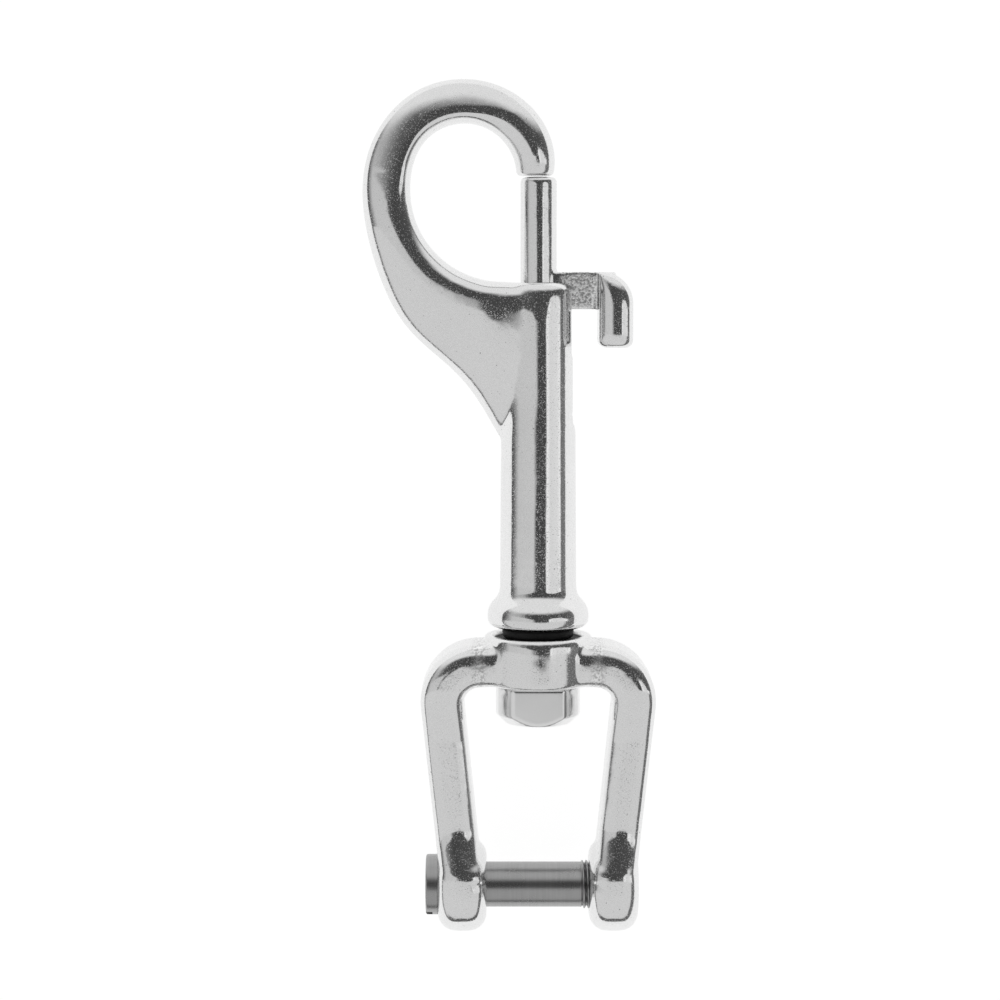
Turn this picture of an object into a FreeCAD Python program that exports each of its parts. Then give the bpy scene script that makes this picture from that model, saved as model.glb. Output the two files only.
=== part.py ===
import FreeCAD, Part
import math
import os
import Sketcher

# Swivel jaw snap hook of cast steel, in millimetres.
# The origin is the middle of the jaw pin. +Y runs along the swivel axis to the hook's nose,
# +X runs along the jaw pin to its threaded end, and the hook lies flat with +Z up.

DRIVING_SIZES = {
    # Jaw: two legs with round ears, hung on a boss that turns about the swivel axis
    "jaw_gap": 12.1,
    "ear_thickness": 5.8,
    "ear_swell": 0.9,
    "ear_edge_radius": 2.1,
    "ear_inset": 0.2,
    "ear_blend_radius": 8.0,
    "leg_foot_gap": 13.0,
    "leg_foot_thickness": 4.9,
    "leg_top_thickness": 5.6,
    "leg_depth": 9.2,
    "leg_edge_radius": 1.7,
    "throat_width": 17.9,
    "throat_height": 24.2,
    "throat_corner_radius": 2.0,
    "shoulder_radius": 6.8,
    "arm_drop": 0.9,
    "boss_radius": 6.4,
    "boss_height": 5.9,
    "boss_lip_width": 1.0,
    "boss_lip_radius": 0.6,
    "boss_dish_slope": 0.2,
    "boss_dish_depth": 0.6,
    # Jaw pin: slotted screw pin
    "jaw_pin_radius": 2.65,
    "jaw_pin_thread_radius": 2.85,
    "jaw_pin_thread_reach": 1.0,
    "jaw_pin_clearance": 0.07,
    "jaw_pin_end_gap": 0.4,
    "jaw_pin_end_chamfer": 0.5,
    "jaw_pin_head_radius": 3.55,
    "jaw_pin_head_height": 1.4,
    "jaw_pin_head_edge": 0.25,
    "driver_slot_width": 1.0,
    "driver_slot_depth": 0.8,
    "driver_slot_angle": 60.0,
    # Swivel pin: shoulder bolt with a round head and two wrench flats
    "swivel_shank_radius": 3.0,
    "swivel_clearance": 0.05,
    "swivel_thread_radius": 2.5,
    "swivel_thread_length": 10.5,
    "swivel_thread_bevel": 0.5,
    "swivel_tap_runout": 2.5,
    "thread_clearance": 0.02,
    "thrust_gap": 0.15,
    "swivel_head_radius": 4.95,
    "swivel_head_height": 4.45,
    "swivel_head_flats": 8.0,
    "swivel_head_chamfer": 1.1,
    # Hook body: barrel, collar bead and thrust neck
    "neck_radius": 4.2,
    "neck_height": 1.35,
    "collar_radius": 5.95,
    "collar_height": 2.3,
    "collar_flare": 1.5,
    "collar_flare_radius": 1.9,
    "collar_crest_radius": 2.2,
    "collar_foot_radius": 0.9,
    "barrel_foot_radius": 4.5,
    "barrel_top_radius": 4.25,
    "barrel_length": 40.2,
    "barrel_rim_radius": 1.1,
    # Hook body: bow
    "eye_offset": 8.6,
    "eye_nose_radius": 6.0,
    "eye_slant": 19.0,
    "eye_floor_rise": 0.1,
    "bow_tip_width": 4.3,
    "bow_top_width": 5.1,
    "bow_side_width": 5.75,
    "heel_upper_width": 8.2,
    "heel_middle_width": 11.6,
    "heel_root_width": 18.5,
    "bow_tip_depth": 4.2,
    "bow_top_depth": 5.0,
    "bow_side_depth": 5.6,
    "heel_depth": 7.7,
    "heel_crown_inset": 2.1,
    "web_end_inset": 1.05,
    "web_end_drop": 0.2,
    "web_end_width": 19.4,
    "web_end_depth": 8.15,
    # Plunger: gate rod, arm and thumb pad
    "gate_radius": 2.1,
    "gate_clearance": 0.05,
    "gate_span": 12.25,
    "gate_rest_gap": 0.15,
    "gate_travel": 12.4,
    "gate_tail": 9.2,
    "gate_end_radius": 0.5,
    "arm_thickness": 2.9,
    "arm_height": 4.3,
    "arm_rise": 1.2,
    "slot_clearance": 0.15,
    "slot_end_gap": 1.25,
    "pad_reach": 10.9,
    "pad_thickness": 4.0,
    "pad_length": 8.7,
    "pad_width": 8.0,
    "pad_corner_radius": 3.6,
    "pad_foot_radius": 0.9,
    "pad_edge_radius": 1.7,
    # Gate spring
    "spring_wire": 0.45,
    "spring_clearance": 0.2,
    "spring_turns": 8.0,
    "spring_end_gap": 0.05,
}

SHEET = "Sizes"

# How far a cutting tool runs past the surface that it opens
OVERRUN = 2.0


class Size:
    """A size that carries its value and the sheet formula that gives it."""

    def __init__(self, value, formula):
        self.value = float(value)
        self.formula = formula

    def __add__(self, other):
        other = as_size(other)
        return Size(self.value + other.value, f"({self.formula} + {other.formula})")

    def __sub__(self, other):
        other = as_size(other)
        return Size(self.value - other.value, f"({self.formula} - {other.formula})")

    def __mul__(self, factor):
        return Size(self.value * factor, f"({self.formula} * {factor})")

    def __truediv__(self, factor):
        return Size(self.value / factor, f"({self.formula} / {factor})")

    def __neg__(self):
        return self * -1


def as_size(number):
    return number if isinstance(number, Size) else Size(number, str(number))


class SizeTable:
    """The driving sizes, read from the sheet by name."""

    def __init__(self, sheet):
        for alias in DRIVING_SIZES:
            setattr(self, alias, Size(sheet.get(alias), f"{SHEET}.{alias}"))


def fill_sheet(doc):
    sheet = doc.addObject("Spreadsheet::Sheet", SHEET)
    for row, (alias, value) in enumerate(DRIVING_SIZES.items(), start=1):
        sheet.set(f"A{row}", alias.replace("_", " "))
        sheet.set(f"B{row}", str(value))
        sheet.setAlias(f"B{row}", alias)
    doc.recompute()
    return sheet


# Helpers for bodies, sketches and solids

def bind(item, name, size):
    """Set a property and tie it to the sheet."""
    size = as_size(size)
    item.setExpression(name, size.formula)


def place(item, x=0.0, y=0.0, z=0.0):
    """Put an item at a point that follows the sheet."""
    for axis, size in (("x", x), ("y", y), ("z", z)):
        bind(item, f"Placement.Base.{axis}", size)


def new_body(doc, name):
    body = doc.addObject("PartDesign::Body", name)
    body.Label = name
    return body


def new_sketch(body, name, plane="XY_Plane"):
    sketch = body.newObject("Sketcher::SketchObject", name)
    origin_plane = next(item for item in body.Origin.OriginFeatures if item.Role == plane)
    sketch.AttachmentSupport = [(origin_plane, "")]
    sketch.MapMode = "FlatFace"
    return sketch


def pin_coordinate(sketch, kind, corner, size):
    """Tie one coordinate of a corner to the sheet; zero puts the corner on the axis."""
    if size.formula == "0":
        axis = -2 if kind == "DistanceX" else -1
        sketch.addConstraint(Sketcher.Constraint("PointOnObject", corner, 1, axis))
        return
    index = sketch.addConstraint(Sketcher.Constraint(kind, -1, 1, corner, 1, size.value))
    sketch.setExpression(f"Constraints[{index}]", size.formula)


def draw_outline(sketch, corners):
    """Draw a closed straight-sided outline with every corner tied to the sheet."""
    corners = [(as_size(u), as_size(v)) for u, v in corners]
    points = [FreeCAD.Vector(u.value, v.value, 0) for u, v in corners]
    count = len(points)
    for index in range(count):
        sketch.addGeometry(Part.LineSegment(points[index], points[(index + 1) % count]), False)
    for index in range(count):
        sketch.addConstraint(Sketcher.Constraint("Coincident", index, 2, (index + 1) % count, 1))
    for index, (u, v) in enumerate(corners):
        pin_coordinate(sketch, "DistanceX", index, u)
        pin_coordinate(sketch, "DistanceY", index, v)


def revolve(body, name, corners, axis="V_Axis"):
    """Turn an outline drawn on the XY plane about the sketch's own axis."""
    sketch = new_sketch(body, name + "_profile")
    draw_outline(sketch, corners)
    turned = body.newObject("PartDesign::Revolution", name)
    turned.Profile = sketch
    turned.ReferenceAxis = (sketch, [axis])
    turned.Angle = 360
    body.Document.recompute()
    return turned


def pad(body, name, corners, depth):
    """Raise an outline drawn on the XY plane by half its depth on both sides."""
    sketch = new_sketch(body, name + "_outline")
    draw_outline(sketch, corners)
    raised = body.newObject("PartDesign::Pad", name)
    raised.Profile = sketch
    raised.SideType = "Symmetric"
    bind(raised, "Length", depth)
    body.Document.recompute()
    return raised


def edges_where(shape, test):
    """Names of the edges whose middle point and curve pass a test."""
    names = []
    for number, edge in enumerate(shape.Edges, start=1):
        if edge.Length > 1e-6 and test(edge):
            names.append(f"Edge{number}")
    return names


def round_edges(body, name, base, size, test, kind="Fillet"):
    """Round or bevel the chosen edges of a body's last feature."""
    chosen = edges_where(base.Shape, test)
    if not chosen:
        raise RuntimeError(f"{name}: no edge found to round")
    feature = body.newObject("PartDesign::" + kind, name)
    feature.Base = (base, chosen)
    bind(feature, "Radius" if kind == "Fillet" else "Size", size)
    body.Document.recompute()
    return feature


def is_rim(edge, radius, level, along="y"):
    """True for a full circle of this radius at this level of an axis."""
    if not isinstance(edge.Curve, Part.Circle):
        return False
    centre = getattr(edge.Curve.Center, along)
    return abs(edge.Curve.Radius - radius) < 1e-4 and abs(centre - level) < 1e-4


def rim_test(radius, level, along="y"):
    return lambda edge: is_rim(edge, as_size(radius).value, as_size(level).value, along)


def stands_at(edge, x, y):
    """True for a straight edge along Z at this place."""
    first = edge.firstVertex().Point
    last = edge.lastVertex().Point
    near = math.hypot(first.x - x, first.y - y) < 1e-4 and math.hypot(last.x - x, last.y - y) < 1e-4
    return near


def corner_test(corners):
    places = [(as_size(x).value, as_size(y).value) for x, y in corners]
    return lambda edge: any(stands_at(edge, x, y) for x, y in places)


def lies_at_depth(edge, depth):
    """True for an edge that stays at one distance from the XY plane."""
    box = edge.BoundBox
    return abs(abs(box.ZMin) - depth) < 1e-4 and abs(box.ZMax - box.ZMin) < 1e-4


def lies_at_level(edge, level):
    """True for an edge that stays at one place along the swivel axis."""
    box = edge.BoundBox
    return abs(box.YMin - level) < 1e-4 and abs(box.YMax - level) < 1e-4


def rod(doc, name, radius, length, axis="z"):
    """Round bar from its own origin along an axis."""
    bar = doc.addObject("Part::Cylinder", name)
    bind(bar, "Radius", radius)
    bind(bar, "Height", length)
    turns = {
        "x": FreeCAD.Rotation(FreeCAD.Vector(0, 1, 0), 90),
        "y": FreeCAD.Rotation(FreeCAD.Vector(1, 0, 0), -90),
        "z": FreeCAD.Rotation(),
    }
    bar.Placement = FreeCAD.Placement(FreeCAD.Vector(), turns[axis])
    return bar


def block(doc, name, length, width, height):
    box = doc.addObject("Part::Box", name)
    bind(box, "Length", length)
    bind(box, "Width", width)
    bind(box, "Height", height)
    return box


def fuse(doc, name, items):
    joined = doc.addObject("Part::MultiFuse", name)
    joined.Shapes = items
    joined.Refine = True
    joined.Label = name
    doc.recompute()
    return joined


def cut(doc, name, base, tool):
    result = doc.addObject("Part::Cut", name)
    result.Base = base
    result.Tool = tool
    result.Label = name
    doc.recompute()
    return result


def soften(doc, name, base, radius, test):
    """Round the chosen edges of a fused form."""
    rounded = doc.addObject("Part::Fillet", name)
    rounded.Base = base
    chosen = [int(edge[4:]) for edge in edges_where(base.Shape, test)]
    if not chosen:
        raise RuntimeError(f"{name}: no edge found to round")
    rounded.Edges = [(number, radius.value, radius.value) for number in chosen]
    doc.recompute()
    return rounded


# Levels along the swivel axis

class Levels:
    """Places along +Y, each worked out from the one below it."""

    def __init__(self, size):
        self.boss_foot = size.throat_height
        self.boss_top = self.boss_foot + size.boss_height
        self.arm_top = self.boss_top - size.arm_drop
        self.dish_floor = self.boss_top - size.boss_dish_depth
        self.head_top = self.boss_foot - size.thrust_gap
        self.head_foot = self.head_top - size.swivel_head_height
        self.neck_foot = self.dish_floor + size.thrust_gap
        self.collar_foot = self.neck_foot + size.neck_height
        self.collar_crest = self.collar_foot + size.collar_height
        self.flare_top = self.collar_crest + size.collar_flare
        self.thread_end = self.neck_foot + size.swivel_thread_length
        self.barrel_top = self.collar_foot + size.barrel_length
        self.tip = self.barrel_top + size.gate_span
        self.gate_top = self.tip - size.gate_rest_gap
        self.gate_tail = self.barrel_top - size.gate_tail
        self.lever_top = self.barrel_top + size.arm_rise
        self.lever_foot = self.lever_top - size.arm_height
        self.slot_end = self.lever_foot - size.gate_travel - size.slot_end_gap


# Hook body

# How full a quarter of a section is: the first is an ellipse's, and 1 is square
ROUND = 0.55
SLACK = 0.48
FULL = 0.72


def quarter(middle, outward, reach, rise, fullness):
    """Curve from a section's side to its top or bottom."""
    up = FreeCAD.Vector(0, 0, rise)
    curve = Part.BezierCurve()
    curve.setPoles([
        middle + outward * reach,
        middle + outward * reach + up * fullness,
        middle + outward * reach * fullness + up,
        middle + up,
    ])
    return curve.toShape()


def bow_section(centre, angle, inner, width, depth, crown, form, edge_form):
    """Closed curve across the bow, highest at the crown, on a plane through an angle about a centre."""
    outward = FreeCAD.Vector(math.cos(angle), math.sin(angle), 0)
    middle = centre + outward * (inner + width * crown)
    sides = [
        (width * (1 - crown), depth / 2, form),
        (-width * crown, depth / 2, edge_form),
        (-width * crown, -depth / 2, edge_form),
        (width * (1 - crown), -depth / 2, form),
    ]
    return Part.Wire([quarter(middle, outward, *side) for side in sides])


def between(first, second, share):
    return first + (second - first) * share


def make_bow(doc, size, level):
    """Cast bow: round at the tip, broad and flat where the web runs into the barrel."""
    nose = FreeCAD.Vector(-size.eye_offset.value, level.tip.value, 0)
    nose_radius = size.eye_nose_radius.value
    slant = math.radians(size.eye_slant.value)
    floor = size.gate_span.value - size.eye_floor_rise.value
    heel_radius = (floor + nose_radius * math.sin(slant)) / (1 + math.sin(slant))
    shift = heel_radius - nose_radius
    heel = nose + FreeCAD.Vector(math.cos(slant), -math.sin(slant), 0) * shift

    tip_width, top_width = size.bow_tip_width.value, size.bow_top_width.value
    side_width = size.bow_side_width.value
    upper, middle = size.heel_upper_width.value, size.heel_middle_width.value
    root = size.heel_root_width.value
    tip_depth, top_depth = size.bow_tip_depth.value, size.bow_top_depth.value
    side_depth, heel_depth = size.bow_side_depth.value, size.heel_depth.value

    crown_inset = size.heel_crown_inset.value

    # Angle in degrees, centre, inner radius, width, depth, crown as a share of the width,
    # fullness outside the crown, fullness inside it
    stations = [
        (0, nose, nose_radius, tip_width, tip_depth, 0.5, ROUND, ROUND),
        (25, nose, nose_radius, between(tip_width, top_width, 0.8), top_depth, 0.5, ROUND, ROUND),
        (55, nose, nose_radius, top_width, top_depth, 0.42, ROUND, 0.7),
        (90, nose, nose_radius, top_width, top_depth, 0.34, ROUND, FULL),
        (135, nose, nose_radius, between(top_width, side_width, 0.15), top_depth, 0.34, ROUND, FULL),
        (165, heel, heel_radius, between(top_width, side_width, 0.5), top_depth, 0.34, ROUND, FULL),
        (195, heel, heel_radius, side_width, side_depth, 0.33, ROUND, FULL),
        (220, heel, heel_radius, between(side_width, upper, 0.6), between(side_depth, heel_depth, 0.3),
         0.3, SLACK, FULL),
        (240, heel, heel_radius, between(upper, middle, 0.3), between(side_depth, heel_depth, 0.6),
         crown_inset / between(upper, middle, 0.3), SLACK, FULL),
        (257, heel, heel_radius, middle, between(side_depth, heel_depth, 0.9),
         crown_inset / middle, SLACK, FULL),
        (270, heel, heel_radius, root, heel_depth, crown_inset / root, SLACK, FULL),
    ]
    wires = [
        bow_section(centre, math.radians(angle), inner, width, depth, crown, form, edge_form)
        for angle, centre, inner, width, depth, crown, form, edge_form in stations
    ]

    # The web's end lies inside the barrel, and its crown meets the barrel's front
    web_end = FreeCAD.Vector(-size.web_end_inset.value, heel.y, 0)
    end_width = size.web_end_width.value
    wires.append(bow_section(web_end, math.radians(270), heel_radius + size.web_end_drop.value,
                             end_width, size.web_end_depth.value, crown_inset / end_width, SLACK, FULL))
    bow = doc.addObject("Part::Feature", "bow")
    bow.Shape = Part.makeLoft(wires, True, False)
    return bow


def make_barrel(doc, size, level):
    """Tapered barrel with its collar bead and thrust neck."""
    body = new_body(doc, "barrel")
    turned = revolve(body, "barrel_turned", [
        (0, level.neck_foot),
        (size.neck_radius, level.neck_foot),
        (size.neck_radius, level.collar_foot),
        (size.collar_radius, level.collar_foot),
        (size.collar_radius, level.collar_crest),
        (size.barrel_foot_radius, level.flare_top),
        (size.barrel_top_radius, level.barrel_top),
        (0, level.barrel_top),
    ])
    rounded = round_edges(body, "barrel_rim", turned, size.barrel_rim_radius,
                          rim_test(size.barrel_top_radius, level.barrel_top))
    rounded = round_edges(body, "collar_flare_blend", rounded, size.collar_flare_radius,
                          rim_test(size.barrel_foot_radius, level.flare_top))
    rounded = round_edges(body, "collar_crest_blend", rounded, size.collar_crest_radius,
                          rim_test(size.collar_radius, level.collar_crest))
    round_edges(body, "collar_foot_blend", rounded, size.collar_foot_radius,
                rim_test(size.collar_radius, level.collar_foot))
    return body


def make_barrel_cutters(doc, size, level):
    """Bore, tapped hole and side slot, as one tool."""
    tool_top = level.barrel_top + OVERRUN
    bore = rod(doc, "bore", size.gate_radius + size.gate_clearance, tool_top - level.thread_end, "y")
    place(bore, y=level.thread_end)
    tap_foot = level.neck_foot - OVERRUN
    tap_end = level.thread_end + size.swivel_tap_runout
    tapped = rod(doc, "tapped_hole", size.swivel_thread_radius + size.thread_clearance,
                 tap_end - tap_foot, "y")
    place(tapped, y=tap_foot)
    half_slot = size.arm_thickness / 2 + size.slot_clearance
    slot = block(doc, "slot_cut", size.barrel_foot_radius * 2,
                 tool_top - level.slot_end - half_slot, half_slot * 2)
    place(slot, y=level.slot_end + half_slot, z=-half_slot)
    slot_foot = rod(doc, "slot_foot", half_slot, size.barrel_foot_radius * 2, "x")
    place(slot_foot, y=level.slot_end + half_slot)
    return fuse(doc, "barrel_cutters", [bore, tapped, slot, slot_foot])


def make_hook_body(doc, size, level):
    """One casting: bow, web, barrel, collar and neck."""
    casting = fuse(doc, "hook_casting", [make_bow(doc, size, level), make_barrel(doc, size, level)])
    return cut(doc, "hook_body", casting, make_barrel_cutters(doc, size, level))


# Plunger

def make_plunger(doc, size, level):
    """One casting: gate rod, arm through the slot and thumb pad."""
    gate = new_body(doc, "gate_rod")
    turned = revolve(gate, "gate_turned", [
        (0, level.gate_tail),
        (size.gate_radius, level.gate_tail),
        (size.gate_radius, level.gate_top),
        (0, level.gate_top),
    ])
    rounded = round_edges(gate, "gate_top_edge", turned, size.gate_end_radius,
                          rim_test(size.gate_radius, level.gate_top))
    round_edges(gate, "gate_tail_edge", rounded, size.gate_end_radius,
                rim_test(size.gate_radius, level.gate_tail), "Chamfer")

    pad_inside = size.pad_reach - size.pad_thickness
    arm = new_body(doc, "lever_arm")
    arm_end = pad_inside + size.pad_thickness / 2
    pad(arm, "arm_raised", [
        (0, level.lever_foot),
        (arm_end, level.lever_foot),
        (arm_end, level.lever_top),
        (0, level.lever_top),
    ], size.arm_thickness)

    thumb = new_body(doc, "thumb_pad")
    foot = level.lever_top - size.pad_length
    raised = pad(thumb, "thumb_raised", [
        (pad_inside, foot),
        (size.pad_reach, foot),
        (size.pad_reach, level.lever_top),
        (pad_inside, level.lever_top),
    ], size.pad_width)
    rounded = round_edges(thumb, "thumb_crown", raised, size.pad_corner_radius,
                          corner_test([(size.pad_reach, level.lever_top)]))
    half_width = size.pad_width.value / 2

    def round_face(edge):
        return lies_at_depth(edge, half_width) and not lies_at_level(edge, foot.value)

    rounded = round_edges(thumb, "thumb_edges", rounded, size.pad_edge_radius, round_face)
    round_edges(thumb, "thumb_foot", rounded, size.pad_foot_radius,
                lambda edge: lies_at_level(edge, foot.value))
    return fuse(doc, "plunger", [gate, arm, thumb])


# Gate spring

def make_gate_spring(doc, size, level):
    """Coil spring that stands on the swivel pin's end and carries the gate rod's tail."""
    body = new_body(doc, "gate_spring")
    sketch = new_sketch(body, "spring_wire_section")
    half_wire = size.spring_wire / 2
    coil_radius = size.gate_radius + size.gate_clearance - size.spring_clearance - half_wire
    start = level.thread_end + half_wire + size.spring_end_gap
    centre = FreeCAD.Vector(coil_radius.value, start.value, 0)
    sketch.addGeometry(Part.Circle(centre, FreeCAD.Vector(0, 0, 1), half_wire.value), False)
    for kind, value in (("DistanceX", coil_radius), ("DistanceY", start)):
        index = sketch.addConstraint(Sketcher.Constraint(kind, -1, 1, 0, 3, value.value))
        sketch.setExpression(f"Constraints[{index}]", value.formula)
    index = sketch.addConstraint(Sketcher.Constraint("Radius", 0, half_wire.value))
    sketch.setExpression(f"Constraints[{index}]", half_wire.formula)
    coil = body.newObject("PartDesign::AdditiveHelix", "spring_coil")
    coil.Profile = sketch
    coil.ReferenceAxis = (sketch, ["V_Axis"])
    coil.Mode = "height-turns-angle"
    bind(coil, "Height", level.gate_tail - start - half_wire - size.spring_end_gap)
    bind(coil, "Turns", size.spring_turns)
    doc.recompute()
    return body


# Swivel pin

def make_swivel_pin(doc, size, level):
    """Shoulder bolt whose round head has two flats for a wrench."""
    body = new_body(doc, "swivel_bolt")
    turned = revolve(body, "bolt_turned", [
        (0, level.head_foot),
        (size.swivel_head_radius, level.head_foot),
        (size.swivel_head_radius, level.head_top),
        (size.swivel_shank_radius, level.head_top),
        (size.swivel_shank_radius, level.neck_foot),
        (size.swivel_thread_radius, level.neck_foot),
        (size.swivel_thread_radius, level.thread_end),
        (0, level.thread_end),
    ])
    bevelled = round_edges(body, "head_bevel", turned, size.swivel_head_chamfer,
                           rim_test(size.swivel_head_radius, level.head_foot), "Chamfer")
    round_edges(body, "thread_bevel", bevelled, size.swivel_thread_bevel,
                rim_test(size.swivel_thread_radius, level.thread_end), "Chamfer")
    flats = []
    for side, name in ((1, "front_flat"), (-1, "back_flat")):
        flat = block(doc, name, size.swivel_head_radius * 2, size.swivel_head_height, size.swivel_head_radius)
        low = size.swivel_head_flats / 2
        place(flat, x=-size.swivel_head_radius, y=level.head_foot,
              z=low if side > 0 else -low - size.swivel_head_radius)
        flats.append(flat)
    return cut(doc, "swivel_pin", body, fuse(doc, "wrench_flats", flats))


# Fork

def ear_radius_of(size):
    """The round ears stand out past the legs' faces by their swell."""
    return size.leg_depth / 2 + size.ear_swell


def make_ear(doc, size, name, side):
    """Round ear about the jaw pin, thicker than the leg that carries it."""
    inside = size.jaw_gap / 2 * side
    outside = (size.jaw_gap / 2 + size.ear_thickness) * side
    ear_radius = ear_radius_of(size)
    body = new_body(doc, name)
    rounded = revolve(body, name + "_turned", [
        (inside, 0),
        (inside, ear_radius),
        (outside, ear_radius),
        (outside, 0),
    ], "H_Axis")
    for face, place_along in (("inner", inside), ("outer", outside)):
        rounded = round_edges(body, f"{name}_{face}_edge", rounded, size.ear_edge_radius,
                              rim_test(ear_radius, place_along, "x"))
    return body


def make_fork(doc, size, level):
    """One casting: boss, arms, legs and ears."""
    half_gap = size.jaw_gap / 2
    ear_outside = half_gap + size.ear_thickness
    half_foot = size.leg_foot_gap / 2
    foot_outside = half_foot + size.leg_foot_thickness
    half_throat = size.throat_width / 2
    leg_outside = half_throat + size.leg_top_thickness
    ear_radius = ear_radius_of(size)
    front = new_body(doc, "fork_front")
    raised = pad(front, "fork_raised", [
        (-foot_outside, 0),
        (-half_foot, 0),
        (-half_throat, level.boss_foot),
        (half_throat, level.boss_foot),
        (half_foot, 0),
        (foot_outside, 0),
        (leg_outside, level.arm_top),
        (-leg_outside, level.arm_top),
    ], ear_radius * 2)
    rounded = round_edges(front, "fork_shoulders", raised, size.shoulder_radius,
                          corner_test([(-leg_outside, level.arm_top), (leg_outside, level.arm_top)]))
    round_edges(front, "fork_throat", rounded, size.throat_corner_radius,
                corner_test([(-half_throat, level.boss_foot), (half_throat, level.boss_foot)]))

    # Side form: a strap that widens into a round end at the pin, a little inside the ear
    span = leg_outside * 2
    strap = block(doc, "strap", span, level.arm_top, size.leg_depth)
    place(strap, x=-leg_outside, z=-size.leg_depth / 2)
    lobe_radius = ear_radius - size.ear_inset
    lobe = rod(doc, "lobe", lobe_radius, span, "x")
    place(lobe, x=-leg_outside)
    side = fuse(doc, "fork_side", [strap, lobe])
    half_depth = size.leg_depth.value / 2
    meeting = math.sqrt(lobe_radius.value ** 2 - half_depth ** 2)

    def at_ear(edge):
        centre = edge.CenterOfMass
        return abs(centre.y - meeting) < 0.01 and abs(abs(centre.z) - half_depth) < 0.01

    blended = soften(doc, "fork_side_blended", side, size.ear_blend_radius, at_ear)
    strap_form = doc.addObject("Part::Common", "fork_form")
    strap_form.Base = front
    strap_form.Tool = blended
    doc.recompute()

    def along_strap(edge):
        """Edges that run along the strap, not those across it or round its hidden ends."""
        tangent = edge.tangentAt((edge.FirstParameter + edge.LastParameter) / 2)
        between_faces = abs(tangent.x) > 0.999 and edge.CenterOfMass.y < level.boss_foot.value - 1
        return not (abs(tangent.z) > 0.999 or between_faces)

    limbs = soften(doc, "fork_limbs", strap_form, size.leg_edge_radius, along_strap)

    boss = new_body(doc, "fork_boss")
    dish_radius = size.boss_radius - size.boss_lip_width
    turned = revolve(boss, "boss_turned", [
        (0, level.boss_foot),
        (size.boss_radius, level.boss_foot),
        (size.boss_radius, level.boss_top),
        (dish_radius, level.boss_top),
        (dish_radius - size.boss_dish_slope, level.dish_floor),
        (0, level.dish_floor),
    ])
    rounded = round_edges(boss, "boss_lip", turned, size.boss_lip_radius,
                          rim_test(size.boss_radius, level.boss_top))
    round_edges(boss, "boss_foot_edge", rounded, size.boss_lip_radius,
                rim_test(size.boss_radius, level.boss_foot))
    ears = [make_ear(doc, size, name, side) for name, side in (("left_ear", -1), ("right_ear", 1))]
    casting = fuse(doc, "fork_casting", [limbs, boss] + ears)

    swivel_bore = rod(doc, "swivel_bore", size.swivel_shank_radius + size.swivel_clearance,
                      size.boss_height + OVERRUN * 2, "y")
    place(swivel_bore, y=level.boss_foot - OVERRUN)
    plain_hole = rod(doc, "plain_hole", size.jaw_pin_thread_radius + size.jaw_pin_clearance,
                     ear_outside, "x")
    place(plain_hole, x=-ear_outside)
    screw_hole = rod(doc, "screw_hole", size.jaw_pin_thread_radius + size.thread_clearance,
                     ear_outside, "x")
    holes = fuse(doc, "fork_holes", [swivel_bore, plain_hole, screw_hole])
    return cut(doc, "fork", casting, holes)


# Jaw pin

def make_jaw_pin(doc, size):
    """Screw pin with a flat slotted head."""
    body = new_body(doc, "screw_pin")
    ear_outside = size.jaw_gap / 2 + size.ear_thickness
    head_seat = -ear_outside
    head_end = head_seat - size.jaw_pin_head_height
    thread_start = size.jaw_gap / 2 - size.jaw_pin_thread_reach
    thread_end = ear_outside - size.jaw_pin_end_gap
    turned = revolve(body, "screw_pin_turned", [
        (head_end, 0),
        (head_end, size.jaw_pin_head_radius),
        (head_seat, size.jaw_pin_head_radius),
        (head_seat, size.jaw_pin_thread_radius),
        (-size.jaw_gap / 2, size.jaw_pin_thread_radius),
        (-size.jaw_gap / 2, size.jaw_pin_radius),
        (thread_start, size.jaw_pin_radius),
        (thread_start, size.jaw_pin_thread_radius),
        (thread_end, size.jaw_pin_thread_radius),
        (thread_end, 0),
    ], "H_Axis")
    bevelled = round_edges(body, "screw_pin_end", turned, size.jaw_pin_end_chamfer,
                           rim_test(size.jaw_pin_thread_radius, thread_end, "x"), "Chamfer")
    round_edges(body, "screw_pin_head_edge", bevelled, size.jaw_pin_head_edge,
                rim_test(size.jaw_pin_head_radius, head_end, "x"))
    half_slot = size.driver_slot_width / 2
    half_length = size.jaw_pin_head_radius + OVERRUN
    groove = block(doc, "driver_groove", size.driver_slot_depth + OVERRUN, size.driver_slot_width,
                   half_length * 2)
    tilt = FreeCAD.Rotation(FreeCAD.Vector(1, 0, 0), size.driver_slot_angle.value)
    corner = tilt.multVec(FreeCAD.Vector(0, -half_slot.value, -half_length.value))
    groove.Placement = FreeCAD.Placement(FreeCAD.Vector(head_end.value - OVERRUN, corner.y, corner.z), tilt)
    return cut(doc, "jaw_pin", body, groove)


# The whole part

def check_document(doc):
    """Stop if any object failed to build."""
    for item in doc.Objects:
        if "Invalid" in item.State or "Error" in item.State:
            raise RuntimeError(f"{item.Name} failed: {item.State}")


def check_shape(name, shape):
    if shape.isNull() or not shape.isValid() or not shape.Solids:
        raise RuntimeError(f"{name} has no valid solid")


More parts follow.
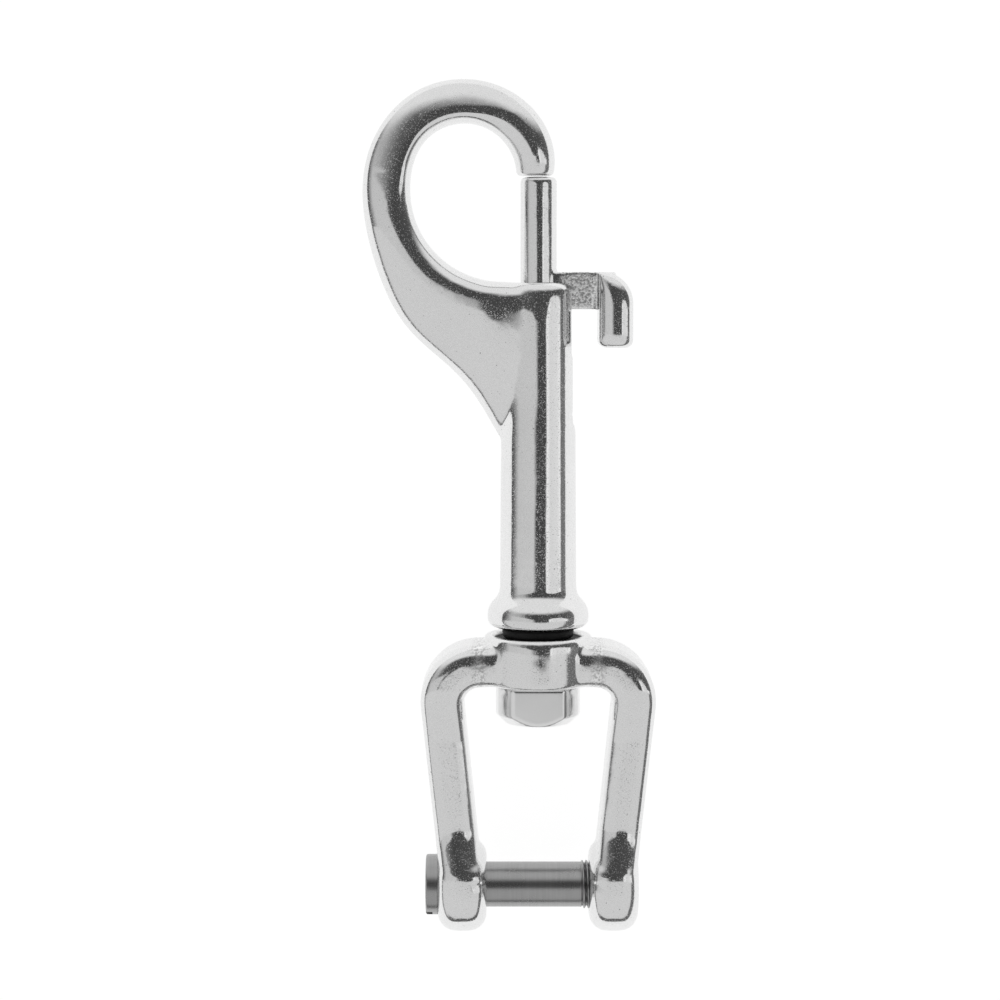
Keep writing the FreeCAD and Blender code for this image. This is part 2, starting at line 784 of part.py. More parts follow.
def main():
    doc = FreeCAD.newDocument("swivel_jaw_snap_hook")
    size = SizeTable(fill_sheet(doc))
    level = Levels(size)
    pieces = [
        make_hook_body(doc, size, level),
        make_plunger(doc, size, level),
        make_gate_spring(doc, size, level),
        make_swivel_pin(doc, size, level),
        make_fork(doc, size, level),
        make_jaw_pin(doc, size),
    ]
    doc.recompute()
    check_document(doc)
    for piece in pieces:
        check_shape(piece.Label, piece.Shape)
    os.makedirs("parts", exist_ok=True)
    for piece in pieces:
        piece.Shape.exportStep(f"parts/{piece.Label}.step")
        box = piece.Shape.BoundBox
        print(f"{piece.Label}: {len(piece.Shape.Solids)} solid, {piece.Shape.Volume:.1f} mm3, "
              f"x {box.XMin:.2f} to {box.XMax:.2f}, y {box.YMin:.2f} to {box.YMax:.2f}, "
              f"z {box.ZMin:.2f} to {box.ZMax:.2f}")


main()
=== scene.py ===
import math

import bmesh
import bpy
from mathutils import Matrix, Vector


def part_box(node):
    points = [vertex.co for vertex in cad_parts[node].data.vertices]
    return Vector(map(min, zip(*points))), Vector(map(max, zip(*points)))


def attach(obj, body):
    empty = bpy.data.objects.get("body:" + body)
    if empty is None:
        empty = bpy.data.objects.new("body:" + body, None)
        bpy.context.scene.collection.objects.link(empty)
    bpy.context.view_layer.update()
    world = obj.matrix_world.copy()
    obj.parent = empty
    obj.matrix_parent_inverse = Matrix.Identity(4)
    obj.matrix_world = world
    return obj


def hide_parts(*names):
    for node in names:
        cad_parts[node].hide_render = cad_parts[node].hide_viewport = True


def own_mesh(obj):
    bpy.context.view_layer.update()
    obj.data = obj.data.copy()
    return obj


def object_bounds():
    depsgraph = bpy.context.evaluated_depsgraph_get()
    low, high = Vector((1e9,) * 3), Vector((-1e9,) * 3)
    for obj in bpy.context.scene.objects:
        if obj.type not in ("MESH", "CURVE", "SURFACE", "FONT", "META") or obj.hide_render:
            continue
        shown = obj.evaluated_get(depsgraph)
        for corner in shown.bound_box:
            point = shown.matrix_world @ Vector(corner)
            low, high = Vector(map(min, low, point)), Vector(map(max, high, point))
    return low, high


# Swivel jaw snap hook of polished cast steel, lying on its back on a white table.
# Lengths are written in millimetres and turned into metres by MM.

MM = 0.001
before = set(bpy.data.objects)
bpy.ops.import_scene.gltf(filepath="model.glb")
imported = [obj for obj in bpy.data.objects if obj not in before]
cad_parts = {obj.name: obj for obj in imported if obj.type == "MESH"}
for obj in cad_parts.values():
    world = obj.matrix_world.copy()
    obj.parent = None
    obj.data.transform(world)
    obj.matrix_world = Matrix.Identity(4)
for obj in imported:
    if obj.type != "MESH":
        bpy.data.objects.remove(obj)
CAD_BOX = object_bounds()
scene = bpy.context.scene


# Camera

CAMERA_PLACE = (-4.47, 70.36, 264.6)
CAMERA_TILT = -5.29
CAMERA_LENS = 81.72
SENSOR_WIDTH = 36.0


def make_camera():
    data = bpy.data.cameras.new("camera")
    data.lens = CAMERA_LENS
    data.sensor_width = SENSOR_WIDTH
    data.clip_start = 0.01
    camera = bpy.data.objects.new("camera", data)
    camera.location = Vector(CAMERA_PLACE) * MM
    camera.rotation_euler = (math.radians(CAMERA_TILT), 0, 0)
    scene.collection.objects.link(camera)
    scene.camera = camera


# Node helpers

class Nodes:
    """Short ways to add and join the nodes of one material or world."""

    def __init__(self, tree):
        self.tree = tree
        tree.nodes.clear()

    def add(self, kind, **settings):
        node = self.tree.nodes.new(kind)
        for name, value in settings.items():
            setattr(node, name, value)
        return node

    def join(self, source, target):
        self.tree.links.new(source, target)

    def feed(self, socket, value):
        """Link a socket to another node's output, or set its value."""
        if isinstance(value, bpy.types.NodeSocket):
            self.join(value, socket)
        else:
            socket.default_value = value

    def math(self, operation, first, second=0.0, third=0.0):
        node = self.add("ShaderNodeMath", operation=operation)
        for socket, value in zip(node.inputs, (first, second, third)):
            self.feed(socket, value)
        return node.outputs[0]

    def ramp(self, value, low, high, first=0.0, last=1.0, smooth=True):
        """Rise from first to last while the value goes from low to high."""
        node = self.add("ShaderNodeMapRange")
        node.interpolation_type = "SMOOTHSTEP" if smooth else "LINEAR"
        for socket, number in zip(node.inputs, (value, low, high, first, last)):
            self.feed(socket, number)
        return node.outputs[0]

    def window(self, value, low, high, soft):
        """1 between low and high, and 0 outside, with soft sides."""
        rising = self.ramp(value, low - soft, low + soft)
        falling = self.ramp(value, high - soft, high + soft, 1.0, 0.0)
        return self.math("MULTIPLY", rising, falling)

    def mix(self, factor, first, second):
        node = self.add("ShaderNodeMix", data_type="FLOAT")
        self.feed(node.inputs[0], factor)
        self.feed(node.inputs[2], first)
        self.feed(node.inputs[3], second)
        return node.outputs[0]

    def place(self):
        """A point's place on the object in millimetres, as x, y and z."""
        coordinates = self.add("ShaderNodeTexCoord").outputs["Object"]
        scaled = self.add("ShaderNodeVectorMath", operation="SCALE")
        self.join(coordinates, scaled.inputs[0])
        scaled.inputs["Scale"].default_value = 1 / MM
        parts = self.add("ShaderNodeSeparateXYZ")
        self.join(scaled.outputs[0], parts.inputs[0])
        return scaled.outputs[0], parts.outputs

    def noise(self, vector, size, detail=2.0, stretch=(1, 1, 1)):
        """Noise whose grains are about this many millimetres wide."""
        mapping = self.add("ShaderNodeMapping")
        self.join(vector, mapping.inputs["Vector"])
        mapping.inputs["Scale"].default_value = stretch
        node = self.add("ShaderNodeTexNoise")
        self.join(mapping.outputs[0], node.inputs["Vector"])
        node.inputs["Scale"].default_value = 1 / size
        node.inputs["Detail"].default_value = detail
        return node.outputs[0]

    def bump(self, height, distance, strength=1.0, under=None):
        """Raise the surface by a height, in millimetres at full strength."""
        node = self.add("ShaderNodeBump")
        node.inputs["Distance"].default_value = distance * MM
        self.feed(node.inputs["Strength"], strength)
        self.feed(node.inputs["Height"], height)
        if under is not None:
            self.join(under, node.inputs["Normal"])
        return node.outputs[0]

    def grey(self, value):
        node = self.add("ShaderNodeCombineColor")
        for socket in node.inputs:
            self.feed(socket, value)
        return node.outputs[0]


def new_material(name):
    material = bpy.data.materials.new(name)
    material.use_nodes = True
    return material, Nodes(material.node_tree)


def finish_metal(nodes, tone, roughness, normal):
    shader = nodes.add("ShaderNodeBsdfPrincipled")
    shader.inputs["Metallic"].default_value = 1.0
    nodes.feed(shader.inputs["Base Color"], nodes.grey(tone))
    nodes.feed(shader.inputs["Roughness"], roughness)
    nodes.feed(shader.inputs["Normal"], normal)
    output = nodes.add("ShaderNodeOutputMaterial")
    nodes.join(shader.outputs[0], output.inputs["Surface"])


# Materials

# Widths of the marks in the steel, in millimetres
CLOUD_GRAIN = 6.0
RIPPLE_GRAIN = 2.2
PIT_GRAIN = 0.3
CRUST_GRAIN = 0.28
SPECKLE_GRAIN = 0.15
RING_GRAIN = 0.12


def polished_steel(name, crust_and_shade_mask=None, crust_and_shade_tone=1.0, rough_height=0.0, painted_shade_mask=None):
    """Mirror-polished casting with fine pits; masks give the parts left as cast, whose darker grains are
    partly painted shade in the fork's corners, and the painted shade in the gaps under the collar.
    """
    material, nodes = new_material(name)
    point, xyz = nodes.place()
    cloud = nodes.noise(point, CLOUD_GRAIN, 3.0)
    speckle = nodes.noise(point, SPECKLE_GRAIN, 2.0)
    ripple = nodes.noise(point, RIPPLE_GRAIN, 1.0)
    pits = nodes.ramp(nodes.noise(point, PIT_GRAIN, 1.0), 0.74, 0.79)
    tone = nodes.mix(cloud, 0.84, 0.90)
    tone = nodes.math("MULTIPLY", tone, nodes.ramp(speckle, 0.3, 0.7, 0.93, 1.06))
    tone = nodes.mix(pits, tone, 0.4)
    roughness = nodes.mix(cloud, 0.05, 0.08)
    roughness = nodes.math("ADD", roughness, nodes.ramp(speckle, 0.5, 0.7, 0.0, 0.3))
    normal = nodes.bump(ripple, 0.02)
    if crust_and_shade_mask is not None:
        mask = crust_and_shade_mask(nodes, xyz)
        crust = nodes.noise(point, CRUST_GRAIN, 2.0)
        # The crust's darker grains are as-cast roughness, and in the fork's corners partly painted shade.
        tone = nodes.mix(mask, tone, nodes.ramp(crust, 0.38, 0.6, crust_and_shade_tone, 1.0))
        roughness = nodes.mix(mask, roughness, 0.3)
        normal = nodes.bump(crust, rough_height, mask, normal)
    if painted_shade_mask is not None:
        # Painted shade: the masked places are darkened nearly to black and roughened, standing in for shadow.
        shade = painted_shade_mask(nodes, xyz)
        tone = nodes.mix(shade, tone, nodes.mix(cloud, 0.02, 0.10))
        roughness = nodes.mix(shade, roughness, 0.6)
    finish_metal(nodes, tone, roughness, normal)
    return material


def turned_steel(name, tones, roughness, mark_height, stretch):
    """Satin metal off the lathe: fine rings round the turning axis."""
    material, nodes = new_material(name)
    point, _ = nodes.place()
    rings = nodes.noise(point, RING_GRAIN, 2.0, stretch)
    cloud = nodes.noise(point, CLOUD_GRAIN / 2, 3.0)
    tone = nodes.mix(nodes.mix(0.5, rings, cloud), *tones)
    rough = nodes.mix(cloud, roughness, roughness + 0.08)
    normal = nodes.bump(rings, mark_height)
    finish_metal(nodes, tone, rough, normal)
    return material


def lever_mask(nodes, xyz):
    """The flat of the lever arm, between the rod and the thumb pad."""
    along = nodes.window(xyz[0], 2.3, 6.7, 0.2)
    front = nodes.ramp(nodes.math("ABSOLUTE", xyz[2]), 1.0, 1.2)
    return nodes.math("MULTIPLY", along, front)


def off_axis(nodes, xyz):
    """Distance from the hook's long axis."""
    across, depth = (nodes.math("MULTIPLY", xyz[axis], xyz[axis]) for axis in (0, 2))
    return nodes.math("SQRT", nodes.math("ADD", across, depth))


def painted_neck_shade(nodes, xyz):
    """Painted shade on the neck under the collar: near-black and rough, standing in for the shadow in the gap
    between collar and boss.
    """
    below = nodes.ramp(xyz[1], 31.3, 31.9, 1.0, 0.0)
    inside = nodes.ramp(off_axis(nodes, xyz), 4.9, 5.3, 1.0, 0.0)
    return nodes.math("MULTIPLY", below, inside)


def painted_dish_shade(nodes, xyz):
    """Painted shade in the dish in the top of the boss, under the collar."""
    above = nodes.ramp(xyz[1], 29.2, 29.5)
    inside = nodes.ramp(off_axis(nodes, xyz), 5.0, 5.3, 1.0, 0.0)
    return nodes.math("MULTIPLY", above, inside)


def arm_crust_and_shade_mask(nodes, xyz):
    """The corners where the fork's arms leave the boss: as-cast crust whose darker grains are partly painted
    shade in the corners.
    """
    across = nodes.window(nodes.math("ABSOLUTE", xyz[0]), 6.2, 7.6, 0.6)
    along = nodes.window(xyz[1], 24.0, 29.3, 0.5)
    return nodes.math("MULTIPLY", across, along)


# Mesh helpers

def link(name, mesh):
    piece = bpy.data.objects.new(name, mesh)
    scene.collection.objects.link(piece)
    return piece


def settle_modifiers(piece):
    """Replace a piece's mesh by what its modifiers make of it."""
    graph = bpy.context.evaluated_depsgraph_get()
    mesh = bpy.data.meshes.new_from_object(piece.evaluated_get(graph))
    piece.modifiers.clear()
    piece.data = mesh


def copy_of(node, name):
    return link(name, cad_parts[node].data.copy())


def smooth_shading(piece, sharp_angle=180):
    mesh = bmesh.new()
    mesh.from_mesh(piece.data)
    bmesh.ops.remove_doubles(mesh, verts=mesh.verts, dist=0.0005 * MM)
    for face in mesh.faces:
        face.smooth = True
    limit = math.radians(sharp_angle)
    for edge in mesh.edges:
        edge.smooth = edge.calc_face_angle(0.0) < limit
    mesh.to_mesh(piece.data)
    mesh.free()


def dress(piece, body, material, node):
    piece.data.materials.clear()
    piece.data.materials.append(material)
    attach(piece, body)
    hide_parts(node)
    return piece


def relax(piece, passes, weight=None, outline_kept=False):
    """Smooth the mesh, all over or where a weight by place says so, if wanted in height alone."""
    modifier = piece.modifiers.new("relax", "SMOOTH")
    modifier.factor = 0.5
    modifier.iterations = passes
    modifier.use_x = modifier.use_y = not outline_kept
    if weight is not None:
        group = piece.vertex_groups.new(name="relaxed")
        for vertex in piece.data.vertices:
            amount = weight(vertex.co / MM)
            if amount > 0:
                group.add([vertex.index], min(amount, 1.0), "REPLACE")
        modifier.vertex_group = group.name
    settle_modifiers(piece)


def cast_skin(node, name, voxel, passes, blends=()):
    """A casting's even skin: no sharp corner is left by the polishing."""
    piece = copy_of(node, name)
    remesh = piece.modifiers.new("skin", "REMESH")
    remesh.mode = "VOXEL"
    remesh.voxel_size = voxel * MM
    settle_modifiers(piece)
    for weight, blend_passes in blends:
        relax(piece, blend_passes, weight, outline_kept=True)
    relax(piece, passes)
    smooth_shading(piece)
    return piece


def fade(distance, full, none):
    """1 up to a distance, falling to 0 at another."""
    return max(0.0, min(1.0, (none - distance) / (none - full)))


# Pieces

EYE_CENTRE = (-8.6, 83.6)
EYE_SECTORS = 90
BOW_LEAN = 0.14
# Bearing of the bow's middle as seen from the eye, and how far from it the lean is full and gone
BOW_MIDDLE = 130
BOW_REACH = (50, 80)


def lean_bow(piece):
    """Move the crown of the bow's section towards the eye, with its inner and outer edges kept."""
    def polar(point):
        across, along = point.x / MM - EYE_CENTRE[0], point.y / MM - EYE_CENTRE[1]
        turn = math.degrees(math.atan2(along, across)) % 360
        return math.hypot(across, along), turn

    places = [polar(vertex.co) for vertex in piece.data.vertices]
    sectors = [[] for _ in range(EYE_SECTORS)]
    for radius, turn in places:
        sectors[int(turn * EYE_SECTORS / 360)].append(radius)
    edges = [(min(found), max(found)) if found else (0, 0) for found in sectors]
    for vertex, (radius, turn) in zip(piece.data.vertices, places):
        amount = fade(abs(turn - BOW_MIDDLE), *BOW_REACH)
        if amount == 0:
            continue
        place = turn * EYE_SECTORS / 360 - 0.5
        sector, share = int(place), place % 1
        inner, outer = (near + (far - near) * share
                        for near, far in zip(edges[sector], edges[sector + 1]))
        depth = max(0.0, min(1.0, (radius - inner) / (outer - inner)))
        moved = radius - BOW_LEAN * amount * (outer - inner) * math.sin(math.pi * depth) ** 2
        vertex.co.x = (EYE_CENTRE[0] + (vertex.co.x / MM - EYE_CENTRE[0]) * moved / radius) * MM
        vertex.co.y = (EYE_CENTRE[1] + (vertex.co.y / MM - EYE_CENTRE[1]) * moved / radius) * MM


BARREL_RADIUS = 4.4
BARREL_TOP = 71.3


def make_hook_body():
    def outside_bore(point):
        return fade(BARREL_RADIUS - math.hypot(point.x, point.z), 0.9, 1.5)

    def web_seam(point):
        beside = fade(abs(point.x + 3.1), 1.7, 3.1) * fade(abs(point.y - 63.3), 5.5, 8.5)
        return beside * outside_bore(point)

    def web_foot(point):
        return fade(abs(point.x + BARREL_RADIUS), 1.5, 3.0) * fade(abs(point.y - 54.5), 1.5, 3.0)

    def barrel_rim(point):
        rim = fade(abs(point.y - BARREL_TOP), 0.7, 2.0) * fade(abs(point.x - 2.6), 3.0, 5.0)
        return rim * outside_bore(point)

    def barrel_top(point):
        top = fade(abs(point.y - 70.5), 1.5, 3.5) * fade(abs(point.x + 1.5), 2.0, 4.0)
        return top * outside_bore(point)

    blends = [(web_seam, 360), (web_foot, 40), (barrel_rim, 14)]
    piece = cast_skin("hook_body", "hook_casting", voxel=0.2, passes=16, blends=blends)
    relax(piece, 200, barrel_top, outline_kept=True)
    lean_bow(piece)
    # Painted shade: the neck under the collar is darkened nearly to black.
    steel = polished_steel("hook_steel", painted_shade_mask=painted_neck_shade)
    return dress(piece, "hook", steel, "hook_body")


LEVER_SPAN = (2.6, 6.6)
LEVER_TOP = 72.3
LEVER_LEAN = 0.06
PAD_OUTSIDE = 9.2


def lean_lever(piece):
    """Thin the gate's arm towards its foot, so its broad sides face down a little."""
    middle = sum(LEVER_SPAN) / 2
    for vertex in piece.data.vertices:
        point = vertex.co / MM
        share = fade(abs(point.x - middle), 1.6, 2.0) * max(0.0, LEVER_TOP - point.y)
        vertex.co.z *= 1 - LEVER_LEAN * share
    piece.data.update()


def make_plunger():
    def lever_root(point):
        return fade(abs(point.x - 2.3), 0.5, 1.2) * fade(abs(point.y - 70.3), 2.6, 3.6)

    def thumb_pad(point):
        return fade(PAD_OUTSIDE - point.x, 1.8, 2.4)

    blends = [(lever_root, 30), (thumb_pad, 240)]
    piece = cast_skin("plunger", "gate_plunger", voxel=0.14, passes=8, blends=blends)
    lean_lever(piece)
    steel = polished_steel("plunger_steel", lever_mask, crust_and_shade_tone=0.45, rough_height=0.04)
    return dress(piece, "gate", steel, "plunger")


LEG_HALF_DEPTH = 4.0
LEG_INSIDE = 7
LEG_TOP = (18, 24)
EAR_HALF_DEPTH = 5.5
EAR_END = -5.5
EAR_OUTSIDE = 10
EAR_REACH = (1.4, 7.2)
PROFILE_START = -6
PROFILE_STEP = 0.25
BOSS_RADIUS = 6.4


def taper_ears(piece):
    """Let the ears' depth run out slowly into the legs."""
    tops = {}
    for vertex in piece.data.vertices:
        if abs(vertex.co.x / MM) > LEG_INSIDE:
            row = int((vertex.co.y / MM - PROFILE_START) / PROFILE_STEP)
            tops[row] = max(tops.get(row, 0), vertex.co.z / MM)
    for vertex in piece.data.vertices:
        along = vertex.co.y / MM
        if not EAR_REACH[0] < along < LEG_TOP[1]:
            continue
        place = (along - PROFILE_START) / PROFILE_STEP - 0.5
        row, share = int(place), place % 1
        top = tops[row] + (tops[row + 1] - tops[row]) * share
        run = min(1.0, (along - EAR_REACH[0]) / (EAR_REACH[1] - EAR_REACH[0]))
        run = run * run * (3 - 2 * run)
        wanted = EAR_HALF_DEPTH + (LEG_HALF_DEPTH - EAR_HALF_DEPTH) * run
        amount = fade(along, *LEG_TOP)
        vertex.co.z *= 1 + (wanted / top - 1) * amount


def make_fork():
    def arm_root(point):
        return fade(abs(abs(point.x) - 6.6), 0.9, 2.0) * fade(abs(point.y - 27), 3.5, 5.0)

    def ear_root(point):
        return fade(abs(point.y - 4.4), 3.2, 5.2)

    def boss_lip(point):
        radius = math.hypot(point.x, point.z)
        return fade(abs(point.y - 29.3), 1.2, 2.6) * fade(abs(radius - BOSS_RADIUS + 0.3), 0.7, 1.3)

    def ear_face(point):
        return fade(abs(point.y - 2.5), 4.5, 6.5) * fade(EAR_OUTSIDE - abs(point.x), 2.0, 3.0)

    def ear_tip(point):
        return fade(point.y - EAR_END, 0.9, 2.2)

    blends = [(arm_root, 50), (ear_root, 120), (boss_lip, 60)]
    piece = cast_skin("fork", "fork_casting", voxel=0.2, passes=14, blends=blends)
    taper_ears(piece)
    relax(piece, 160, ear_face, outline_kept=True)
    relax(piece, 40, ear_tip)
    # The arms' corners get as-cast crust whose darker grains are partly painted shade.
    # The boss's dish under the collar gets painted shade.
    steel = polished_steel("fork_steel", arm_crust_and_shade_mask, crust_and_shade_tone=0.55, rough_height=0.012, painted_shade_mask=painted_dish_shade)
    return dress(piece, "jaw", steel, "fork")


def make_swivel_pin():
    piece = cast_skin("swivel_pin", "swivel_bolt", voxel=0.13, passes=4)
    steel = turned_steel("bolt_steel", tones=(0.86, 0.95), roughness=0.12, mark_height=0.0,
                         stretch=(1, 4, 1))
    return dress(piece, "hook", steel, "swivel_pin")


THREAD_PITCH = 0.5
THREAD_DEPTH = 0.4
THREAD_START = 5.05
SHANK_RADIUS = 2.65
THREAD_RADIUS = 2.85
HEAD_HEIGHT = 1.4
HEAD_EDGE = 0.25
END_BEVEL = 0.5
RIM_POINTS = 96


def pin_radius(x, turn, low, high, head_radius):
    """Radius of the jaw pin at a place along it and an angle round it."""
    if x < low + HEAD_HEIGHT:
        rise = max(0.0, HEAD_EDGE - (x - low))
        return head_radius - HEAD_EDGE + math.sqrt(max(0.0, HEAD_EDGE ** 2 - rise ** 2))
    if x < THREAD_START:
        return SHANK_RADIUS
    phase = ((x - THREAD_START) / THREAD_PITCH - turn / (2 * math.pi)) % 1.0
    flank = min(1.0, 1.35 * (1 - abs(2 * phase - 1)))
    thread = THREAD_RADIUS - THREAD_DEPTH * (1 - flank)
    grown = min(1.0, (x - THREAD_START) / (0.5 * THREAD_PITCH))
    radius = SHANK_RADIUS + (thread - SHANK_RADIUS) * grown
    return min(radius, THREAD_RADIUS - END_BEVEL + (high - x))


def steps(first, last, step):
    count = max(1, round((last - first) / step))
    return [first + (last - first) * index / count for index in range(count + 1)]


def skin_rings(rings):
    """Mesh of rings joined one to the next, closed by a flat fan at each end."""
    mesh = bmesh.new()
    rows = [[mesh.verts.new(point) for point in ring] for ring in rings]
    count = len(rows[0])
    for row, following in zip(rows, rows[1:]):
        for index in range(count):
            ahead = (index + 1) % count
            mesh.faces.new((row[index], row[ahead], following[ahead], following[index]))
    mesh.faces.new(list(reversed(rows[0])))
    mesh.faces.new(rows[-1])
    bmesh.ops.recalc_face_normals(mesh, faces=mesh.faces)
    data = bpy.data.meshes.new("rings")
    mesh.to_mesh(data)
    mesh.free()
    return data


def make_jaw_pin():
    low, high = (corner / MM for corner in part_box("jaw_pin"))
    head_radius = high.z
    seat = low.x + HEAD_HEIGHT
    stations = steps(low.x, low.x + HEAD_EDGE, 0.05) + [seat - 0.001, seat + 0.001]
    stations += steps(seat + 0.1, THREAD_START - 0.01, 0.8)
    stations += steps(THREAD_START + 0.02, high.x, 0.05)
    rings = []
    for x in stations:
        ring = []
        for index in range(RIM_POINTS):
            turn = 2 * math.pi * index / RIM_POINTS
            radius = pin_radius(x, turn, low.x, high.x, head_radius)
            ring.append(Vector((x, radius * math.cos(turn), radius * math.sin(turn))) * MM)
        rings.append(ring)
    piece = link("screw_pin", skin_rings(rings))
    cut_driver_slot(piece, low.x, head_radius)
    smooth_shading(piece, 40)
    steel = turned_steel("pin_steel", tones=(0.30, 0.50), roughness=0.24, mark_height=0.008,
                         stretch=(1, 0.02, 0.02))
    return dress(piece, "pin", steel, "jaw_pin")


SLOT_WIDTH = 1.0
SLOT_DEPTH = 0.8
SLOT_ANGLE = 60


def cut_driver_slot(piece, head_end, head_radius):
    mesh = bmesh.new()
    bmesh.ops.create_cube(mesh, size=1.0)
    data = bpy.data.meshes.new("slot_tool")
    mesh.to_mesh(data)
    mesh.free()
    tool = link("slot_tool", data)
    size = Matrix.Diagonal((SLOT_DEPTH * 2 * MM, SLOT_WIDTH * MM, head_radius * 3 * MM, 1))
    turn = Matrix.Rotation(math.radians(SLOT_ANGLE), 4, "X")
    data.transform(Matrix.Translation((head_end * MM, 0, 0)) @ turn @ size)
    modifier = piece.modifiers.new("slot", "BOOLEAN")
    modifier.operation = "DIFFERENCE"
    modifier.object = tool
    settle_modifiers(piece)
    bpy.data.objects.remove(tool)


SPRING_WIRE = 0.45
SPRING_TURNS = 8
SPRING_STEPS = 32
WIRE_POINTS = 10


def spring_height(share, low, high):
    """Height along the coil: flat end turns and an even pitch between them."""
    end = 1.0 / SPRING_TURNS
    lift = SPRING_WIRE
    if share < end:
        return low + lift * share / end
    if share > 1 - end:
        return high - lift * (1 - share) / end
    return low + lift + (high - low - 2 * lift) * (share - end) / (1 - 2 * end)


def make_gate_spring():
    low, high = (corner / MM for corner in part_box("gate_spring"))
    coil_radius = high.z - SPRING_WIRE / 2
    first, last = low.y + SPRING_WIRE / 2, high.y - SPRING_WIRE / 2
    rings = []
    count = SPRING_TURNS * SPRING_STEPS
    for index in range(count + 1):
        turn = 2 * math.pi * index / SPRING_STEPS
        outward = Vector((math.cos(turn), 0, math.sin(turn)))
        centre = outward * coil_radius + Vector((0, spring_height(index / count, first, last), 0))
        ring = []
        for corner in range(WIRE_POINTS):
            angle = 2 * math.pi * corner / WIRE_POINTS
            offset = outward * math.cos(angle) + Vector((0, math.sin(angle), 0))
            ring.append((centre + offset * SPRING_WIRE / 2) * MM)
        rings.append(ring)
    piece = link("coil_spring", skin_rings(rings))
    smooth_shading(piece, 60)
    steel = turned_steel("wire_steel", tones=(0.45, 0.6), roughness=0.25, mark_height=0.003,
                         stretch=(1, 1, 1))
    dress(piece, "hook", steel, "gate_spring")
    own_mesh(piece)
    return piece


# Studio

FLOOR_SIZE = 3.0
FLOOR_GLOW = 1.18
FLOOR_GLOW_SHARE = 0.8
MIRRORED_GLOW_SHARE = 0.7


def make_floor():
    """White table that the camera sees as white, with a faint shadow of the hook."""
    lowest = CAD_BOX[0][2]
    mesh = bmesh.new()
    bmesh.ops.create_grid(mesh, x_segments=1, y_segments=1, size=FLOOR_SIZE)
    data = bpy.data.meshes.new("table")
    mesh.to_mesh(data)
    mesh.free()
    table = link("table", data)
    table.location = (0, 0, lowest)
    material, nodes = new_material("table_white")
    diffuse = nodes.add("ShaderNodeBsdfDiffuse")
    diffuse.inputs["Color"].default_value = (0.8, 0.8, 0.8, 1)
    glow = nodes.add("ShaderNodeEmission")
    glow.inputs["Strength"].default_value = FLOOR_GLOW
    path = nodes.add("ShaderNodeLightPath")
    share = nodes.mix(path.outputs["Is Glossy Ray"], 0.0, MIRRORED_GLOW_SHARE)
    blend = nodes.add("ShaderNodeMixShader")
    nodes.feed(blend.inputs[0], nodes.mix(path.outputs["Is Camera Ray"], share, FLOOR_GLOW_SHARE))
    nodes.join(diffuse.outputs[0], blend.inputs[1])
    nodes.join(glow.outputs[0], blend.inputs[2])
    output = nodes.add("ShaderNodeOutputMaterial")
    nodes.join(blend.outputs[0], output.inputs["Surface"])
    data.materials.append(material)


# Light of the studio by its bearing about the hook's long axis: 0 is straight up, + is to the right
STUDIO_BEARINGS = [
    (-180, 0.92), (-95, 0.92), (-90, 0.08), (-83, 0.10), (-62, 0.58), (-14, 0.62),
    (-6, 0.06), (22, 0.06), (25, 0.98), (36, 0.74), (60, 0.80), (69, 0.99),
    (73, 0.17), (94, 0.22), (97, 0.92), (180, 0.92),
]
# A dark backdrop stands behind the softbox, towards the hook's nose
BACKDROP_BEARINGS = [
    (-180, 0.92), (-95, 0.88), (-89, 0.12), (-82, 0.18), (-66, 0.48), (-46, 0.42),
    (-26, 0.10), (-10, 0.06), (60, 0.08), (96, 0.16), (104, 0.92), (180, 0.92),
]
# Below the softbox stands a pale wall, with a dark gap at its right
LOW_BEARINGS = [
    (-180, 0.92), (-94, 0.92), (-90, 0.15), (-85, 0.20), (-79, 0.67), (60, 0.67),
    (66, 0.15), (104, 0.17), (110, 0.92), (180, 0.92),
]
HIGH_LIGHT = 0.80
HORIZON_LIGHT = 0.12
HIGH_EDGE = (24, 46)
# Elevation towards the hook's nose at which the panels end, by bearing
PANEL_FEET = [
    (-180, -8), (-90, -6.5), (-40, -6.5), (-10, -6.8), (8, -9.6), (24, -7.2),
    (60, -7), (180, -8),
]
PANEL_TOPS = [
    (-180, 12), (-95, 14), (-70, 14), (-34, 11), (-14, 2), (8, -5), (21, 0),
    (32, 9), (50, 8), (66, 1), (100, -4), (180, 6),
]
EDGE_SCALE = 30


def bearing_bands(nodes, share, bearings, rounded=False):
    """Light by bearing, as a ramp from -180 to 180 degrees."""
    bands = nodes.add("ShaderNodeValToRGB")
    nodes.join(share, bands.inputs[0])
    bands.color_ramp.interpolation = "B_SPLINE" if rounded else "LINEAR"
    stops = bands.color_ramp.elements
    for index, (angle, light) in enumerate(bearings):
        position = (angle + 180) / 360
        stop = stops[index] if index < 2 else stops.new(position)
        stop.position = position
        stop.color = (light, light, light, 1)
    return bands.outputs[0]


def rise_between(nodes, along, edge):
    """Rise from 0 to 1 between two elevations towards the hook's nose."""
    return nodes.ramp(along, *(math.sin(math.radians(angle)) for angle in edge))


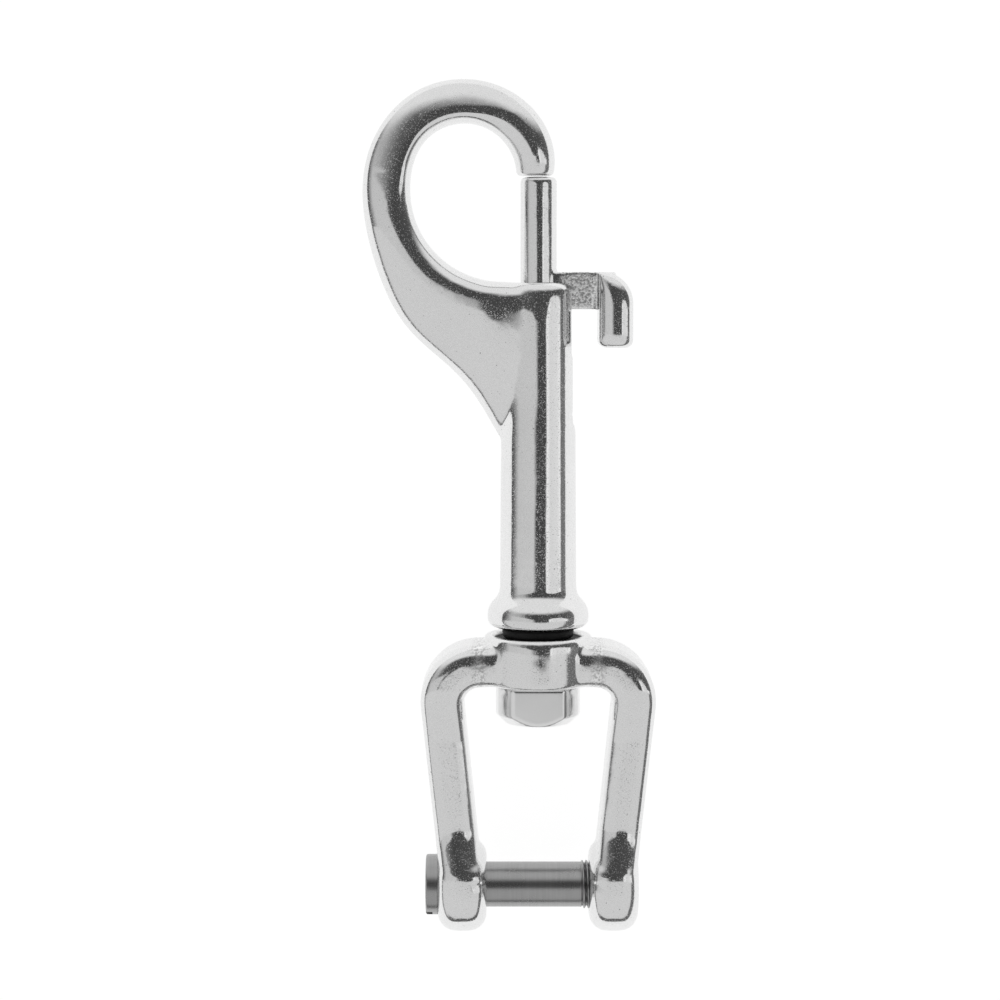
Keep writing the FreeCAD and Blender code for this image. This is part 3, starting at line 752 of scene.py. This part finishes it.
def rise_over(nodes, share, along, edges, soft):
    """Rise from 0 to 1 over an edge whose elevation changes with the bearing."""
    levels = [(bearing, 0.5 + elevation / EDGE_SCALE) for bearing, elevation in edges]
    level = nodes.math("SUBTRACT", bearing_bands(nodes, share, levels, rounded=True), 0.5)
    above = nodes.math("SUBTRACT", along, nodes.math("MULTIPLY", level, math.radians(EDGE_SCALE)))
    return nodes.ramp(above, -soft, soft)


def make_world():
    """Soft studio: a dark stand overhead, a softbox to the right, a dark backdrop and pale walls."""
    world = bpy.data.worlds.new("studio")
    scene.world = world
    world.use_nodes = True
    nodes = Nodes(world.node_tree)
    direction = nodes.add("ShaderNodeSeparateXYZ")
    nodes.join(nodes.add("ShaderNodeTexCoord").outputs["Generated"], direction.inputs[0])
    across, along, up = direction.outputs
    bearing = nodes.math("ARCTAN2", across, up)
    share = nodes.ramp(bearing, -math.pi, math.pi, smooth=False)
    light = nodes.mix(rise_over(nodes, share, along, PANEL_FEET, 0.015),
                      bearing_bands(nodes, share, LOW_BEARINGS),
                      bearing_bands(nodes, share, STUDIO_BEARINGS))
    light = nodes.mix(rise_over(nodes, share, along, PANEL_TOPS, 0.02), light,
                      bearing_bands(nodes, share, BACKDROP_BEARINGS))
    light = nodes.mix(rise_between(nodes, along, HIGH_EDGE), light, HIGH_LIGHT)
    horizon = nodes.math("MULTIPLY", nodes.window(up, 0.0, 0.24, 0.03),
                         nodes.ramp(along, -0.93, -0.75, 1.0, 0.0))
    light = nodes.mix(horizon, light, HORIZON_LIGHT)
    seen = nodes.add("ShaderNodeLightPath").outputs["Is Camera Ray"]
    light = nodes.mix(seen, light, 1.0)
    background = nodes.add("ShaderNodeBackground")
    nodes.join(nodes.grey(light), background.inputs["Color"])
    output = nodes.add("ShaderNodeOutputWorld")
    nodes.join(background.outputs[0], output.inputs["Surface"])


scene.view_settings.view_transform = "Standard"
make_camera()
make_world()
make_floor()
make_hook_body()
make_plunger()
make_fork()
make_swivel_pin()
make_jaw_pin()
make_gate_spring()
